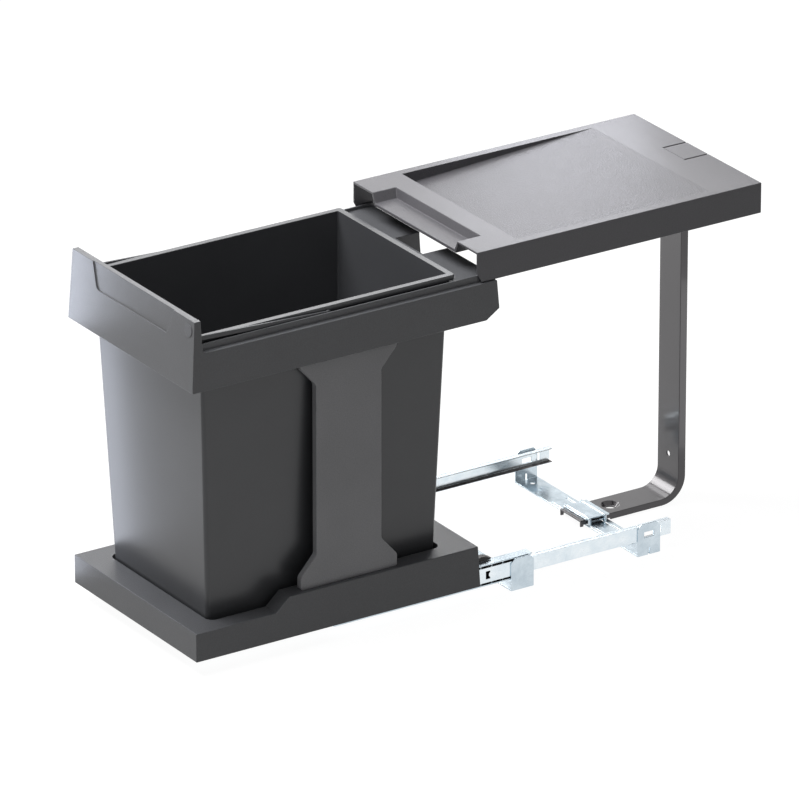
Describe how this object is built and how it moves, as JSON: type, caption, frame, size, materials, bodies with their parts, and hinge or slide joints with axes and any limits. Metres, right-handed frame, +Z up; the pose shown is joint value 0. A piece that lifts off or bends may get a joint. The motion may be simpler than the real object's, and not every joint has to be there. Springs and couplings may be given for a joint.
{
  "type": "pull-out waste bin unit",
  "caption": "Floor-mounted pull-out waste unit: a lid on a bent post, and a drawer with frame, pillars, base tray and lift-out bin on full-extension ball runners",
  "frame": {"origin": "on the floor face, in the middle of the four floor screw holes", "axes": "+X to the right as seen from the front, +Y to the back (the way the drawer closes), +Z up"},
  "size_m": [0.247, 0.7152, 0.3996],
  "materials": {
    "zinc_plated_steel": "cold-rolled steel sheet, bright zinc plate",
    "screw_steel": "zinc-plated screws and rivets",
    "coated_steel": "glossy anthracite powder coat",
    "ball_steel": "polished steel balls",
    "lid_plastic": "injection-moulded, fine grain",
    "frame_plastic": "injection-moulded, fine grain",
    "tray_plastic": "injection-moulded, fine grain",
    "pillar_plastic": "injection-moulded, fine grain",
    "bin_plastic": "injection-moulded, smooth matt",
    "bail_plastic": "injection-moulded, smooth matt",
    "black_plastic": "injection-moulded black",
    "badge_plastic": "plain moulded disc"
  },
  "bodies": {
    "chassis": {"front_cross_member": "zinc_plated_steel", "rear_cross_member": "zinc_plated_steel", "fixed_runner_left": "zinc_plated_steel", "fixed_runner_right": "zinc_plated_steel", "lid_bracket": "coated_steel", "bracket_clamp": "zinc_plated_steel", "clamp_pins": "screw_steel", "lid_carrier": "lid_plastic", "carrier_screws": "screw_steel", "lid": "lid_plastic"},
    "middle_left": {"middle_channel_left": "zinc_plated_steel", "middle_runner_left": "zinc_plated_steel", "middle_rivets_left": "screw_steel"},
    "middle_right": {"middle_channel_right": "zinc_plated_steel", "middle_runner_right": "zinc_plated_steel", "middle_rivets_right": "screw_steel"},
    "outer_cage_body_left": {"outer_cage_left": "black_plastic", "outer_balls_left": "ball_steel"},
    "outer_cage_body_right": {"outer_cage_right": "black_plastic", "outer_balls_right": "ball_steel"},
    "inner_cage_body_left": {"inner_cage_left": "black_plastic", "inner_balls_left": "ball_steel"},
    "inner_cage_body_right": {"inner_cage_right": "black_plastic", "inner_balls_right": "ball_steel"},
    "drawer": {"drawer_runner_left": "zinc_plated_steel", "drawer_runner_right": "zinc_plated_steel", "runner_screws": "screw_steel", "release_lever_left": "black_plastic", "release_lever_right": "black_plastic", "base_tray": "tray_plastic", "pillar_left": "pillar_plastic", "pillar_right": "pillar_plastic", "pillar_foot_screws": "screw_steel", "pillar_top_screws": "screw_steel", "top_frame": "frame_plastic", "badge_disc": "badge_plastic"},
    "bin": {"waste_bin": "bin_plastic"},
    "bail": {"bin_bail": "bail_plastic"}
  },
  "joints": [
    {"name": "drawer_slide", "type": "slide", "parent": "chassis", "child": "drawer", "axis": [0, 1, 0], "range_m": [0, 0.332]},
    {"name": "middle_slide_left", "type": "slide", "parent": "chassis", "child": "middle_left", "axis": [0, 1, 0], "range_m": [0, 0.166]},
    {"name": "outer_cage_slide_left", "type": "slide", "parent": "chassis", "child": "outer_cage_body_left", "axis": [0, 1, 0], "range_m": [0, 0.083]},
    {"name": "inner_cage_slide_left", "type": "slide", "parent": "chassis", "child": "inner_cage_body_left", "axis": [0, 1, 0], "range_m": [0, 0.249]},
    {"name": "middle_slide_right", "type": "slide", "parent": "chassis", "child": "middle_right", "axis": [0, 1, 0], "range_m": [0, 0.166]},
    {"name": "outer_cage_slide_right", "type": "slide", "parent": "chassis", "child": "outer_cage_body_right", "axis": [0, 1, 0], "range_m": [0, 0.083]},
    {"name": "inner_cage_slide_right", "type": "slide", "parent": "chassis", "child": "inner_cage_body_right", "axis": [0, 1, 0], "range_m": [0, 0.249]},
    {"name": "bin_lift", "type": "slide", "parent": "drawer", "child": "bin", "axis": [0, 0, 1], "range_m": [0, 0.38]},
    {"name": "bail_hinge", "type": "hinge", "parent": "bin", "child": "bail", "pos_m": [0, -0.32195, 0.37], "axis": [-1, 0, 0], "range_deg": [0, 173]}
  ],
  "couplings": [
    {"joint": "middle_slide_left", "follows": "drawer_slide", "ratio": 0.5},
    {"joint": "outer_cage_slide_left", "follows": "drawer_slide", "ratio": 0.25},
    {"joint": "inner_cage_slide_left", "follows": "drawer_slide", "ratio": 0.75},
    {"joint": "middle_slide_right", "follows": "drawer_slide", "ratio": 0.5},
    {"joint": "outer_cage_slide_right", "follows": "drawer_slide", "ratio": 0.25},
    {"joint": "inner_cage_slide_right", "follows": "drawer_slide", "ratio": 0.75}
  ]
}
